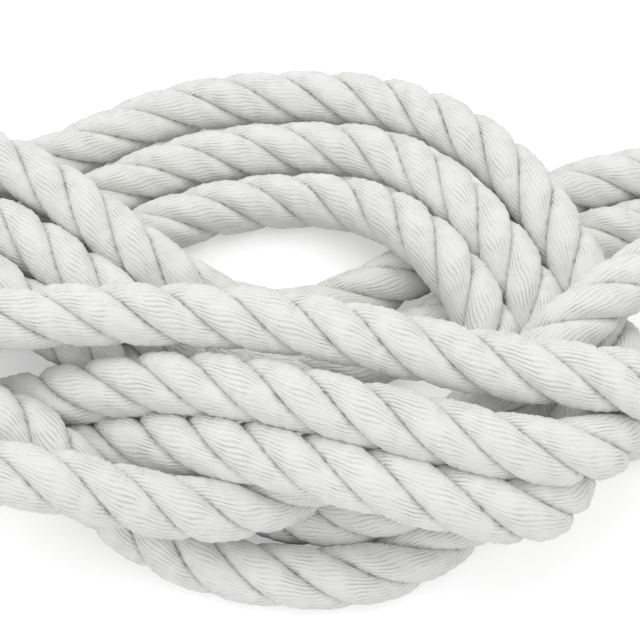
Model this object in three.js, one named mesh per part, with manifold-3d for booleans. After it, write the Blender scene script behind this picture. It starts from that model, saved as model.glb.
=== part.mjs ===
// A dock line of white three-strand cotton rope, coiled and heaped on the floor: one length of rope with a
// spliced eye at one end and a twine whipping on the other. Millimetres, +Z up, the floor at z = 0.
// The rope is one continuous line. It is built as named stretches, each of them its own solid, which meet
// face to face where the rope passes from one lay of the heap to the next.
import * as THREE from "three";
import { mergeVertices } from "three/addons/utils/BufferGeometryUtils.js";
import Module from "manifold-3d";

// ---------- driving dimensions ----------
const ROPE_DIAMETER = 12;
const TUBE_RADIUS = 5.4; // plain tube that stands for the rope, slimmer than it so that crossings stay clear
const TUBE_SIDES = 8;
const TUBE_STEP = ROPE_DIAMETER; // length of rope between two rings of the tube
const LYING_HEIGHT = 5.1; // height of the rope's centre where it lies on the floor, pressed a little flat
const END_GAP = 0.3; // between two stretches that meet
const SPLICE_END_WIDTH = 11; // at the last of the tucks
const SPLICE_MIDDLE_WIDTH = 15; // where six strands lie together
const SPLICE_THROAT_WIDTH = 22.6; // where the two legs of the eye come together
const SPLICE_SETBACK = 4.5; // from the ends of the eye's two legs, which meet the throat at a slant
const SPLICE_HEIGHT = 12;
const SPLICE_ROUNDING = 3;
const WHIPPING_LENGTH = 14;
const WHIPPING_RADIUS = 6.7;
const WHIPPING_BORE = 5.9;
const TIP_LENGTH = 7; // rope that stands out past the whipping
const TIP_RADIUS = 5;

const COTTON = { color: 0xe6e5df, roughness: 0.92, metalness: 0 };
const TWINE = { color: 0xd8d2c0, roughness: 0.8, metalness: 0 };

// ---------- the route, from the whipped end to the eye ----------
// Points that the centre of the rope passes, [x, y, z], by the name of the stretch that they belong to.
const STRETCHES = {
  tail_run: [[-140, 65, 5], [-128, 63, 5], [-116, 60, 5], [-101, 54, 12], [-84, 47, 18]],
  cross_rope_upper: [
    [-72, 42, 18], [-63, 37, 18], [-53, 29, 19], [-42, 19, 19], [-32, 11, 18], [-23, 7, 14], [-13, 7, 9],
    [-4, 8, 5], [4, 12, 5], [14, 17, 5], [23, 22, 5], [32, 28, 5], [43, 34, 5], [54, 40, 5], [66, 45, 5],
  ],
  right_bight_outer: [
    [78, 47, 5], [93, 46, 5], [108, 39, 7], [118, 25, 11], [121, 6, 17], [116, -12, 24], [103, -25, 31],
    [86, -30, 36], [72, -28, 39],
  ],
  front_rope_upper: [
    [61, -25, 39], [53, -24, 40], [42, -23, 41], [29, -20, 41], [15, -16, 40], [2, -12, 39], [-12, -9, 37],
    [-24, -7, 35], [-34, -6, 33], [-44, -5, 32], [-54, -5, 31], [-65, -6, 31],
  ],
  left_bight_upper: [
    [-82, -9, 32], [-96, -13, 33], [-109, -9, 32], [-117, 3, 29], [-116, 17, 25], [-105, 28, 20],
    [-88, 30, 18],
  ],
  cross_rope_middle: [
    [-70, 24, 18], [-61, 19, 18], [-49, 8, 19], [-38, 1, 17], [-28, -4, 13], [-17, -7, 9], [-7, -7, 5],
    [4, -4, 5], [18, 1, 5], [29, 9, 5], [41, 16, 5], [52, 24, 5], [64, 30, 5], [74, 32, 5],
  ],
  right_bight_inner: [[88, 32, 5], [101, 23, 5], [106, 9, 5], [101, -6, 5], [88, -15, 5]],
  lower_loop: [
    [72, -17, 5], [62, -19, 5], [54, -23, 5], [42, -30, 5], [31, -38, 5], [21, -45, 5], [12, -49, 5],
    [2, -50, 5], [-8, -51, 5], [-18, -49, 5], [-27, -47, 5], [-36, -43, 9], [-42, -38, 14], [-48, -33, 18],
    [-55, -26, 19], [-61, -20, 19],
  ],
  left_bight_inner: [[-71, -20, 19], [-82, -19, 18], [-91, -11, 17], [-94, 1, 17], [-88, 12, 14], [-77, 17, 9]],
  arch_rope_inner: [
    [-66, 18, 5], [-55, 23, 5], [-44, 29, 5], [-31, 35, 5], [-21, 38, 5], [-10, 39, 5], [1, 38, 7],
    [11, 34, 11], [18, 26, 15], [25, 17, 18], [32, 9, 18], [36, 1, 18],
  ],
  right_turn_inner: [
    [38, -8, 17], [36, -17, 16], [31, -24, 15], [22, -29, 15], [12, -32, 15], [2, -35, 16], [-6, -38, 17],
  ],
  corner_rope: [
    [-14, -40, 19], [-23, -43, 22], [-33, -43, 26], [-42, -42, 30], [-48, -41, 31], [-55, -39, 31],
    [-63, -38, 31],
  ],
  left_bight_outer: [
    [-78, -39, 30], [-94, -37, 25], [-108, -29, 18], [-117, -14, 11], [-119, 4, 6], [-113, 21, 5],
    [-100, 34, 5], [-84, 42, 5],
  ],
  arch_rope_outer: [
    [-68, 48, 5], [-56, 54, 5], [-47, 60, 5], [-34, 66, 5], [-21, 68, 5], [-6, 69, 5], [7, 67, 8],
    [19, 62, 11], [29, 54, 15], [39, 44, 18], [46, 35, 18], [51, 25, 18], [55, 15, 18], [58, 6, 18],
  ],
  right_turn_outer: [[60, -6, 20], [60, -17, 24], [58, -28, 29], [52, -36, 34]],
  front_rope_middle: [
    [44, -39, 38], [37, -38, 40], [28, -35, 40], [15, -32, 39], [2, -28, 37], [-12, -24, 34],
    [-24, -20, 30], [-34, -17, 25], [-45, -15, 18], [-57, -13, 11], [-69, -14, 5],
  ],
  left_bight_middle: [[-81, -16, 5], [-93, -14, 5], [-101, -5, 5], [-102, 8, 5], [-94, 19, 5], [-79, 27, 5]],
  arch_rope_middle: [
    [-62, 33, 5], [-51, 41, 5], [-40, 47, 5], [-27, 52, 5], [-14, 53, 5], [-1, 54, 5], [11, 51, 9],
    [20, 44, 13], [28, 35, 17], [36, 25, 18], [41, 15, 18], [45, 6, 18],
  ],
  right_turn_middle: [[48, -5, 18], [50, -16, 19], [50, -28, 22], [48, -39, 27]],
  front_rope_lower: [
    [43, -46, 32], [36, -48, 34], [28, -46, 34], [21, -44, 34], [8, -40, 33], [-6, -36, 30],
    [-20, -31, 26], [-32, -27, 20], [-43, -25, 14], [-55, -24, 8], [-67, -26, 5],
  ],
  left_bight_lower: [
    [-83, -28, 7], [-96, -24, 10], [-106, -13, 14], [-109, 1, 19], [-103, 13, 24], [-91, 17, 24],
    [-79, 13, 21],
  ],
  rising_rope: [
    [-69, 8, 18], [-59, 0, 18], [-50, -7, 17], [-42, -14, 14], [-34, -20, 10], [-25, -27, 7], [-17, -33, 5],
    [-6, -38, 5], [4, -37, 8], [14, -34, 12], [24, -29, 18], [34, -22, 25], [42, -15, 30], [50, -8, 32],
    [58, -1, 32], [66, 5, 31],
  ],
  standing_part: [
    [80, 14, 29], [95, 22, 26], [110, 28, 25], [124, 32, 19], [137, 34, 11], [149, 35, 5],
  ],
  eye_splice: [[165, 34, 5], [178, 33, 5], [189, 34, 5]],
  eye_loop: [
    [198, 38, 5], [211, 48, 5], [228, 61, 5], [250, 69, 5], [275, 66, 5], [293, 51, 5], [300, 29, 5],
    [293, 6, 5], [277, -9, 5], [256, -15, 5], [235, -9, 5], [221, 3, 5], [209, 16, 5], [196, 25, 5],
  ],
};

// ---------- how the rope settles ----------
const SETTLE_STEP = ROPE_DIAMETER / 2; // spacing of the settled points along the rope
const SETTLE_ROUNDS = 220;
const TOUCHING = 1.01 * ROPE_DIAMETER; // two passes of the rope come no closer than this
const NEIGHBOURS = 5; // points this near along the rope are the rope itself, not another pass
const PUSH = 0.75; // share of an overlap that each of the two passes gives way in a round
const HOLD = 0.012; // pull back to the route
const STIFFNESS = 0.06; // how strongly the rope evens out its bends
const CURVE_SAMPLES = 24; // samples between two points of the route

// Points a given step apart along a chain of points, as near as an even division allows.
function evenly(chain, step) {
  const along = [0];
  for (let i = 1; i < chain.length; i++) {
    along.push(along[i - 1] + chain[i].distanceTo(chain[i - 1]));
  }
  const total = along[along.length - 1];
  const count = Math.round(total / step);
  const result = [];
  let at = 1;
  for (let k = 0; k <= count; k++) {
    const want = (total * k) / count;
    while (at < along.length - 1 && along[at] < want) at++;
    const share = (want - along[at - 1]) / (along[at] - along[at - 1]);
    result.push(chain[at - 1].clone().lerp(chain[at], Math.min(share, 1)));
  }
  return result;
}

// Pushes apart the passes that lie in each other, in one round.
function partPasses(points) {
  const moves = points.map(() => new THREE.Vector3());
  const touches = points.map(() => 0);
  const between = new THREE.Vector3();
  for (let i = 0; i < points.length; i++) {
    for (let j = i + NEIGHBOURS + 1; j < points.length; j++) {
      const distance = between.subVectors(points[i], points[j]).length();
      if (distance >= TOUCHING) continue;
      between.multiplyScalar((PUSH * (TOUCHING - distance)) / distance);
      moves[i].add(between);
      moves[j].sub(between);
      touches[i]++;
      touches[j]++;
    }
  }
  points.forEach((p, i) => p.addScaledVector(moves[i], 1 / Math.max(touches[i], 1)));
}

// Evens out the bends of the rope, in one round.
function easeBends(points) {
  const before = points.map((p) => p.clone());
  for (let i = 2; i < points.length - 2; i++) {
    points[i].addScaledVector(before[i], -6 * STIFFNESS);
    points[i].addScaledVector(before[i - 1], 4 * STIFFNESS);
    points[i].addScaledVector(before[i + 1], 4 * STIFFNESS);
    points[i].addScaledVector(before[i - 2], -STIFFNESS);
    points[i].addScaledVector(before[i + 2], -STIFFNESS);
  }
}

// The centre line of the rope as it comes to rest on itself and on the floor.
function settledLine(route) {
  const curve = new THREE.CatmullRomCurve3(route, false, "centripetal");
  const home = evenly(curve.getPoints((route.length - 1) * CURVE_SAMPLES), SETTLE_STEP);
  const points = home.map((p) => p.clone());
  for (let round = 0; round < SETTLE_ROUNDS; round++) {
    partPasses(points);
    points.forEach((p, i) => p.lerp(home[i], HOLD));
    easeBends(points);
    points.forEach((p) => (p.z = Math.max(p.z, LYING_HEIGHT)));
  }
  return points;
}

// Moves the line so that its box is centred over the origin.
function centred(points) {
  const middle = new THREE.Box3().setFromPoints(points).getCenter(new THREE.Vector3());
  return points.map((p) => new THREE.Vector3(p.x - middle.x, p.y - middle.y, p.z));
}

// The rope between two distances along its line, as a curve that a section can be extruded along.
class Run extends THREE.Curve {
  constructor(line, from, to) {
    super();
    this.line = line;
    this.from = from;
    this.to = to;
  }

  getPoint(t, target = new THREE.Vector3()) {
    const distance = this.from + (this.to - this.from) * t;
    return target.copy(this.line.getPointAt(distance / this.line.getLength()));
  }
}

// ---------- solids ----------
const wasm = await Module();
wasm.setup();

function toManifold(geometry) {
  const bare = geometry.clone();
  bare.deleteAttribute("normal");
  bare.deleteAttribute("uv");
  const merged = mergeVertices(bare);
  const vertProperties = merged.attributes.position.array;
  const triVerts = new Uint32Array(merged.index.array);
  return new wasm.Manifold(new wasm.Mesh({ numProp: 3, vertProperties, triVerts }));
}

function toGeometry(manifold) {
  const mesh = manifold.getMesh();
  const geometry = new THREE.BufferGeometry();
  geometry.setAttribute("position", new THREE.BufferAttribute(mesh.vertProperties, 3));
  geometry.setIndex(new THREE.BufferAttribute(mesh.triVerts, 1));
  geometry.computeVertexNormals();
  return geometry;
}

const FLOOR_BLOCK = 1000; // side of the block of floor that flattens what presses into it

// The geometry with what would lie under the floor cut off, which leaves it a flat face to rest on.
function restingOnFloor(geometry) {
  geometry.computeBoundingBox();
  if (geometry.boundingBox.min.z >= 0) return geometry;
  const floor = new THREE.BoxGeometry(FLOOR_BLOCK, FLOOR_BLOCK, FLOOR_BLOCK);
  floor.translate(0, 0, -FLOOR_BLOCK / 2);
  return toGeometry(toManifold(geometry).subtract(toManifold(floor)));
}

function ropeSection(radius) {
  const section = new THREE.Shape();
  for (let i = 0; i < TUBE_SIDES; i++) {
    const angle = ((i + 0.5) * 2 * Math.PI) / TUBE_SIDES;
    const corner = [radius * Math.cos(angle), radius * Math.sin(angle)];
    if (i === 0) section.moveTo(...corner);
    else section.lineTo(...corner);
  }
  section.closePath();
  return section;
}

function tubeAlong(run) {
  const steps = Math.max(2, Math.round((run.to - run.from) / TUBE_STEP));
  const options = { steps, extrudePath: run, bevelEnabled: false };
  return restingOnFloor(new THREE.ExtrudeGeometry(ropeSection(TUBE_RADIUS), options));
}

// A turned solid whose axis runs from one point to another. The profile is [radius, distance from start].
function turnedBetween(profile, start, end, sides) {
  const outline = profile.map(([radius, distance]) => new THREE.Vector2(radius, distance));
  const geometry = new THREE.LatheGeometry(outline, sides);
  const direction = new THREE.Vector3().subVectors(end, start).normalize();
  const turn = new THREE.Quaternion().setFromUnitVectors(new THREE.Vector3(0, 1, 0), direction);
  geometry.applyQuaternion(turn);
  geometry.translate(start.x, start.y, start.z);
  return restingOnFloor(geometry);
}

// ---------- pieces ----------
const root = new THREE.Group();

function addPiece(name, geometry, finish) {
  const mesh = new THREE.Mesh(geometry, new THREE.MeshStandardMaterial(finish));
  mesh.name = name;
  root.add(mesh);
}

// The thick part where the eye's strands are tucked into the standing part: a flat fork that is widest at
// the throat, where both legs of the eye leave it, and thinnest at the last tuck.
function spliceBody(start, throat) {
  const length = start.distanceTo(throat) - SPLICE_SETBACK;
  const middle = 0.6 * length;
  const inset = (width) => width / 2 - SPLICE_ROUNDING;
  const outline = new THREE.Shape();
  outline.moveTo(SPLICE_ROUNDING, -inset(SPLICE_END_WIDTH));
  outline.lineTo(middle, -inset(SPLICE_MIDDLE_WIDTH));
  outline.lineTo(length - SPLICE_ROUNDING, -inset(SPLICE_THROAT_WIDTH));
  outline.lineTo(length - SPLICE_ROUNDING, inset(SPLICE_THROAT_WIDTH));
  outline.lineTo(middle, inset(SPLICE_MIDDLE_WIDTH));
  outline.lineTo(SPLICE_ROUNDING, inset(SPLICE_END_WIDTH));
  outline.closePath();
  const geometry = new THREE.ExtrudeGeometry(outline, {
    depth: SPLICE_HEIGHT - 2 * SPLICE_ROUNDING,
    bevelSize: SPLICE_ROUNDING,
    bevelThickness: SPLICE_ROUNDING,
    bevelSegments: 3,
  });
  geometry.rotateZ(Math.atan2(throat.y - start.y, throat.x - start.x));
  geometry.translate(start.x, start.y, SPLICE_ROUNDING);
  return geometry;
}

// The twine that is wound round the rope so that its cut end doesn't unlay.
function whippingBand(start, end) {
  const length = start.distanceTo(end);
  const profile = [
    [WHIPPING_BORE, 0],
    [WHIPPING_RADIUS, 0],
    [WHIPPING_RADIUS, length],
    [WHIPPING_BORE, length],
    [WHIPPING_BORE, 0],
  ];
  return turnedBetween(profile, start, end, 2 * TUBE_SIDES);
}

function ropeTip(start, end) {
  const length = start.distanceTo(end);
  const profile = [
    [0, 0],
    [TIP_RADIUS, 0],
    [TIP_RADIUS, length],
    [0, length],
  ];
  return turnedBetween(profile, start, end, TUBE_SIDES);
}

function buildLine() {
  const route = Object.values(STRETCHES).flat().map((point) => new THREE.Vector3(...point));
  const settled = centred(settledLine(route));
  const line = new THREE.CatmullRomCurve3(settled, false, "centripetal");
  line.arcLengthDivisions = settled.length * 10;
  const total = line.getLength();
  const lastRoutePoint = route.length - 1;

  // Each stretch ends half way between its last point and the next stretch's first.
  const names = Object.keys(STRETCHES);
  let pointsSoFar = 0;
  let from = 0;
  for (const name of names) {
    pointsSoFar += STRETCHES[name].length;
    const isLast = pointsSoFar > lastRoutePoint;
    const to = isLast ? total : distanceAlong(route, pointsSoFar - 0.5) * total;
    const run = new Run(line, from + END_GAP / 2, to - END_GAP / 2);
    if (name === "eye_splice") {
      const eyeEnd = line.getPointAt(1);
      const throat = run.getPoint(1).lerp(eyeEnd, 0.5);
      addPiece(name, spliceBody(run.getPoint(0), throat), COTTON);
    } else {
      addPiece(name, tubeAlong(run), COTTON);
    }
    from = to;
  }

  const tail = line.getPointAt(0);
  const inward = line.getTangentAt(0);
  const bandStart = tail.clone().addScaledVector(inward, END_GAP);
  const bandEnd = bandStart.clone().addScaledVector(inward, WHIPPING_LENGTH);
  addPiece("end_whipping", whippingBand(bandStart, bandEnd), TWINE);
  const tipEnd = tail.clone().addScaledVector(inward, -TIP_LENGTH);
  addPiece("end_tip", ropeTip(tipEnd, tail.clone().addScaledVector(inward, -END_GAP)), COTTON);
}

// Share of the route's length that lies before a place in its list of points, such as 2.5.
function distanceAlong(route, place) {
  const curve = new THREE.CatmullRomCurve3(route, false, "centripetal");
  const lengths = curve.getLengths((route.length - 1) * CURVE_SAMPLES);
  return lengths[Math.round(place * CURVE_SAMPLES)] / lengths[lengths.length - 1];
}

buildLine();

export default root;
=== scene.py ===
"""Looks of a coiled dock line: white three-strand cotton rope with a spliced eye and a whipped end.

Metres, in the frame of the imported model: +Z up, the floor at z = 0.
"""

from __future__ import annotations

import logging
import math
from dataclasses import dataclass, field
from enum import Enum

import bpy
import numpy as np
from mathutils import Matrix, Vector

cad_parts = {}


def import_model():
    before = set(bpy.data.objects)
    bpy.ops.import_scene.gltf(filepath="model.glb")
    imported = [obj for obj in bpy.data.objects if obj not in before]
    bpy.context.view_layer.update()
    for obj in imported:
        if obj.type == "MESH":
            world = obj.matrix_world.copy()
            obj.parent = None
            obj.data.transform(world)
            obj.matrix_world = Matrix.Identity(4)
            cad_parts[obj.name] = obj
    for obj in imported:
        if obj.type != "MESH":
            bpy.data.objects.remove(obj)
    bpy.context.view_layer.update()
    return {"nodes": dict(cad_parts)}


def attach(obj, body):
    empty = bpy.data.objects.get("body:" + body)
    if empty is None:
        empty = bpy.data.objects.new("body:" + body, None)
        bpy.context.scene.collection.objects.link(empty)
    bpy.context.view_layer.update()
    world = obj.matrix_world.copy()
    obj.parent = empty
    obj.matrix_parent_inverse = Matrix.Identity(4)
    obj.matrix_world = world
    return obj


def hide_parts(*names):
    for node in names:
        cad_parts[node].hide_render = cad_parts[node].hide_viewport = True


LOG = logging.getLogger("dock_line")

BODY = "root"
MM = 0.001
TURN = 2 * math.pi
VIEW_HEIGHT = 0.020  # of the point that the camera looks at, over the middle of the arched coil

# The stretches of the rope from its whipped end to its eye, as the points that its centre passes.
STRETCHES: dict[str, list[tuple[float, float, float]]] = {
    "tail_run": [
        (-0.140, 0.065, 0.005), (-0.128, 0.063, 0.005), (-0.116, 0.060, 0.005), (-0.101, 0.054, 0.012),
        (-0.084, 0.047, 0.018),
    ],
    "cross_rope_upper": [
        (-0.072, 0.042, 0.018), (-0.063, 0.037, 0.018), (-0.053, 0.029, 0.019), (-0.042, 0.019, 0.019),
        (-0.032, 0.011, 0.018), (-0.023, 0.007, 0.014), (-0.013, 0.007, 0.009), (-0.004, 0.008, 0.005),
        (0.004, 0.012, 0.005), (0.014, 0.017, 0.005), (0.023, 0.022, 0.005), (0.032, 0.028, 0.005),
        (0.043, 0.034, 0.005), (0.054, 0.040, 0.005), (0.066, 0.045, 0.005),
    ],
    "right_bight_outer": [
        (0.078, 0.047, 0.005), (0.093, 0.046, 0.005), (0.108, 0.039, 0.007), (0.118, 0.025, 0.011),
        (0.121, 0.006, 0.017), (0.116, -0.012, 0.024), (0.103, -0.025, 0.031), (0.086, -0.030, 0.036),
        (0.072, -0.028, 0.039),
    ],
    "front_rope_upper": [
        (0.061, -0.025, 0.039), (0.053, -0.024, 0.040), (0.042, -0.023, 0.041), (0.029, -0.020, 0.041),
        (0.015, -0.016, 0.040), (0.002, -0.012, 0.039), (-0.012, -0.009, 0.037),
        (-0.024, -0.007, 0.035), (-0.034, -0.006, 0.033), (-0.044, -0.005, 0.032),
        (-0.054, -0.005, 0.031), (-0.065, -0.006, 0.031),
    ],
    "left_bight_upper": [
        (-0.082, -0.009, 0.032), (-0.096, -0.013, 0.033), (-0.109, -0.009, 0.032),
        (-0.117, 0.003, 0.029), (-0.116, 0.017, 0.025), (-0.105, 0.028, 0.020), (-0.088, 0.030, 0.018),
    ],
    "cross_rope_middle": [
        (-0.070, 0.024, 0.018), (-0.061, 0.019, 0.018), (-0.049, 0.008, 0.019), (-0.038, 0.001, 0.017),
        (-0.028, -0.004, 0.013), (-0.017, -0.007, 0.009), (-0.007, -0.007, 0.005),
        (0.004, -0.004, 0.005), (0.018, 0.001, 0.005), (0.029, 0.009, 0.005), (0.041, 0.016, 0.005),
        (0.052, 0.024, 0.005), (0.064, 0.030, 0.005), (0.074, 0.032, 0.005),
    ],
    "right_bight_inner": [
        (0.088, 0.032, 0.005), (0.101, 0.023, 0.005), (0.106, 0.009, 0.005), (0.101, -0.006, 0.005),
        (0.088, -0.015, 0.005),
    ],
    "lower_loop": [
        (0.072, -0.017, 0.005), (0.062, -0.019, 0.005), (0.054, -0.023, 0.005), (0.042, -0.030, 0.005),
        (0.031, -0.038, 0.005), (0.021, -0.045, 0.005), (0.012, -0.049, 0.005), (0.002, -0.050, 0.005),
        (-0.008, -0.051, 0.005), (-0.018, -0.049, 0.005), (-0.027, -0.047, 0.005),
        (-0.036, -0.043, 0.009), (-0.042, -0.038, 0.014), (-0.048, -0.033, 0.018),
        (-0.055, -0.026, 0.019), (-0.061, -0.020, 0.019),
    ],
    "left_bight_inner": [
        (-0.071, -0.020, 0.019), (-0.082, -0.019, 0.018), (-0.091, -0.011, 0.017),
        (-0.094, 0.001, 0.017), (-0.088, 0.012, 0.014), (-0.077, 0.017, 0.009),
    ],
    "arch_rope_inner": [
        (-0.066, 0.018, 0.005), (-0.055, 0.023, 0.005), (-0.044, 0.029, 0.005), (-0.031, 0.035, 0.005),
        (-0.021, 0.038, 0.005), (-0.010, 0.039, 0.005), (0.001, 0.038, 0.007), (0.011, 0.034, 0.011),
        (0.018, 0.026, 0.015), (0.025, 0.017, 0.018), (0.032, 0.009, 0.018), (0.036, 0.001, 0.018),
    ],
    "right_turn_inner": [
        (0.038, -0.008, 0.017), (0.036, -0.017, 0.016), (0.031, -0.024, 0.015), (0.022, -0.029, 0.015),
        (0.012, -0.032, 0.015), (0.002, -0.035, 0.016), (-0.006, -0.038, 0.017),
    ],
    "corner_rope": [
        (-0.014, -0.040, 0.019), (-0.023, -0.043, 0.022), (-0.033, -0.043, 0.026),
        (-0.042, -0.042, 0.030), (-0.048, -0.041, 0.031), (-0.055, -0.039, 0.031),
        (-0.063, -0.038, 0.031),
    ],
    "left_bight_outer": [
        (-0.078, -0.039, 0.030), (-0.094, -0.037, 0.025), (-0.108, -0.029, 0.018),
        (-0.117, -0.014, 0.011), (-0.119, 0.004, 0.006), (-0.113, 0.021, 0.005), (-0.100, 0.034, 0.005),
        (-0.084, 0.042, 0.005),
    ],
    "arch_rope_outer": [
        (-0.068, 0.048, 0.005), (-0.056, 0.054, 0.005), (-0.047, 0.060, 0.005), (-0.034, 0.066, 0.005),
        (-0.021, 0.068, 0.005), (-0.006, 0.069, 0.005), (0.007, 0.067, 0.008), (0.019, 0.062, 0.011),
        (0.029, 0.054, 0.015), (0.039, 0.044, 0.018), (0.046, 0.035, 0.018), (0.051, 0.025, 0.018),
        (0.055, 0.015, 0.018), (0.058, 0.006, 0.018),
    ],
    "right_turn_outer": [
        (0.060, -0.006, 0.020), (0.060, -0.017, 0.024), (0.058, -0.028, 0.029), (0.052, -0.036, 0.034),
    ],
    "front_rope_middle": [
        (0.044, -0.039, 0.038), (0.037, -0.038, 0.040), (0.028, -0.035, 0.040), (0.015, -0.032, 0.039),
        (0.002, -0.028, 0.037), (-0.012, -0.024, 0.034), (-0.024, -0.020, 0.030),
        (-0.034, -0.017, 0.025), (-0.045, -0.015, 0.018), (-0.057, -0.013, 0.011),
        (-0.069, -0.014, 0.005),
    ],
    "left_bight_middle": [
        (-0.081, -0.016, 0.005), (-0.093, -0.014, 0.005), (-0.101, -0.005, 0.005),
        (-0.102, 0.008, 0.005), (-0.094, 0.019, 0.005), (-0.079, 0.027, 0.005),
    ],
    "arch_rope_middle": [
        (-0.062, 0.033, 0.005), (-0.051, 0.041, 0.005), (-0.040, 0.047, 0.005), (-0.027, 0.052, 0.005),
        (-0.014, 0.053, 0.005), (-0.001, 0.054, 0.005), (0.011, 0.051, 0.009), (0.020, 0.044, 0.013),
        (0.028, 0.035, 0.017), (0.036, 0.025, 0.018), (0.041, 0.015, 0.018), (0.045, 0.006, 0.018),
    ],
    "right_turn_middle": [
        (0.048, -0.005, 0.018), (0.050, -0.016, 0.019), (0.050, -0.028, 0.022), (0.048, -0.039, 0.027),
    ],
    "front_rope_lower": [
        (0.043, -0.046, 0.032), (0.036, -0.048, 0.034), (0.028, -0.046, 0.034), (0.021, -0.044, 0.034),
        (0.008, -0.040, 0.033), (-0.006, -0.036, 0.030), (-0.020, -0.031, 0.026),
        (-0.032, -0.027, 0.020), (-0.043, -0.025, 0.014), (-0.055, -0.024, 0.008),
        (-0.067, -0.026, 0.005),
    ],
    "left_bight_lower": [
        (-0.083, -0.028, 0.007), (-0.096, -0.024, 0.010), (-0.106, -0.013, 0.014),
        (-0.109, 0.001, 0.019), (-0.103, 0.013, 0.024), (-0.091, 0.017, 0.024), (-0.079, 0.013, 0.021),
    ],
    "rising_rope": [
        (-0.069, 0.008, 0.018), (-0.059, 0.000, 0.018), (-0.050, -0.007, 0.017),
        (-0.042, -0.014, 0.014), (-0.034, -0.020, 0.010), (-0.025, -0.027, 0.007),
        (-0.017, -0.033, 0.005), (-0.006, -0.038, 0.005), (0.004, -0.037, 0.008),
        (0.014, -0.034, 0.012), (0.024, -0.029, 0.018), (0.034, -0.022, 0.025), (0.042, -0.015, 0.030),
        (0.050, -0.008, 0.032), (0.058, -0.001, 0.032), (0.066, 0.005, 0.031),
    ],
    "standing_part": [
        (0.080, 0.014, 0.029), (0.095, 0.022, 0.026), (0.110, 0.028, 0.025), (0.124, 0.032, 0.019),
        (0.137, 0.034, 0.011), (0.149, 0.035, 0.005),
    ],
    "eye_splice": [
        (0.165, 0.034, 0.005), (0.178, 0.033, 0.005), (0.189, 0.034, 0.005),
    ],
    "eye_loop": [
        (0.198, 0.038, 0.005), (0.211, 0.048, 0.005), (0.228, 0.061, 0.005), (0.250, 0.069, 0.005),
        (0.275, 0.066, 0.005), (0.293, 0.051, 0.005), (0.300, 0.029, 0.005), (0.293, 0.006, 0.005),
        (0.277, -0.009, 0.005), (0.256, -0.015, 0.005), (0.235, -0.009, 0.005), (0.221, 0.003, 0.005),
        (0.209, 0.016, 0.005), (0.196, 0.025, 0.005),
    ],
}


class Hand(Enum):
    """The hand of a lay: which way the strands wind as they go away from you."""

    RIGHT = 1
    LEFT = -1


# ---------- finishes ----------


class NodeGraph:
    """A node tree that is being written, with short ways to add and join nodes."""

    def __init__(self, tree: bpy.types.NodeTree) -> None:
        """Takes the tree to write into.

        Args:
            tree: A material's node tree or a node group.
        """
        self.tree = tree

    def add(self, kind: str, **settings: object) -> bpy.types.Node:
        """Adds a node.

        Args:
            kind: The node's type, such as "ShaderNodeMath".
            **settings: Properties to set on it.

        Returns:
            The new node.
        """
        node = self.tree.nodes.new(kind)
        for name, value in settings.items():
            setattr(node, name, value)
        return node

    def join(self, source: bpy.types.NodeSocket, target: bpy.types.NodeSocket) -> None:
        """Links an output to an input."""
        self.tree.links.new(source, target)

    def put(self, value: object, target: bpy.types.NodeSocket) -> None:
        """Gives an input a link if the value is a socket, and else a constant."""
        if isinstance(value, bpy.types.NodeSocket):
            self.join(value, target)
        else:
            target.default_value = value

    def math(self, operation: str, *values: object, clamp: bool = False) -> bpy.types.NodeSocket:
        """Adds a Math node.

        Args:
            operation: The operation's name.
            *values: Its inputs, each a number or a socket.
            clamp: Whether the result is kept from 0 to 1.

        Returns:
            The result's socket.
        """
        node = self.add("ShaderNodeMath", operation=operation, use_clamp=clamp)
        for value, target in zip(values, node.inputs):
            self.put(value, target)
        return node.outputs[0]

    def noise(self, vector: bpy.types.NodeSocket, scale: float, detail: float = 2.0) -> bpy.types.NodeSocket:
        """Adds a noise texture.

        Args:
            vector: The coordinates that it reads.
            scale: Its waves per unit.
            detail: Its octaves.

        Returns:
            The noise from 0 to 1.
        """
        node = self.add("ShaderNodeTexNoise")
        self.join(vector, node.inputs["Vector"])
        node.inputs["Scale"].default_value = scale
        node.inputs["Detail"].default_value = detail
        return node.outputs["Fac"]

    def ramp(self, value: bpy.types.NodeSocket, low: float, high: float) -> bpy.types.NodeSocket:
        """Adds a smooth step from 0 at low to 1 at high.

        Args:
            value: The number to read.
            low: Where the step starts.
            high: Where the step ends.

        Returns:
            The stepped number.
        """
        node = self.add("ShaderNodeMapRange", interpolation_type="SMOOTHSTEP")
        self.join(value, node.inputs["Value"])
        node.inputs["From Min"].default_value = low
        node.inputs["From Max"].default_value = high
        return node.outputs["Result"]

    def mix(self, share: object, first: object, second: object) -> bpy.types.NodeSocket:
        """Adds a colour mix.

        Args:
            share: How much of the second colour there is.
            first: A colour or socket.
            second: A colour or socket.

        Returns:
            The mixed colour.
        """
        node = self.add("ShaderNodeMix", data_type="RGBA")
        self.put(share, node.inputs["Factor"])
        self.put(first, node.inputs["A"])
        self.put(second, node.inputs["B"])
        return node.outputs["Result"]


def new_group(name: str, inputs: dict[str, str], outputs: dict[str, str]) -> bpy.types.NodeTree:
    """Makes a shader node group with named sockets.

    Args:
        name: The group's name.
        inputs: Socket type by input name.
        outputs: Socket type by output name.

    Returns:
        The empty group, with its input and output nodes.
    """
    tree = bpy.data.node_groups.new(name, "ShaderNodeTree")
    for socket, kind in inputs.items():
        tree.interface.new_socket(socket, in_out="INPUT", socket_type=kind)
    for socket, kind in outputs.items():
        tree.interface.new_socket(socket, in_out="OUTPUT", socket_type=kind)
    tree.nodes.new("NodeGroupInput")
    tree.nodes.new("NodeGroupOutput")
    return tree


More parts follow.
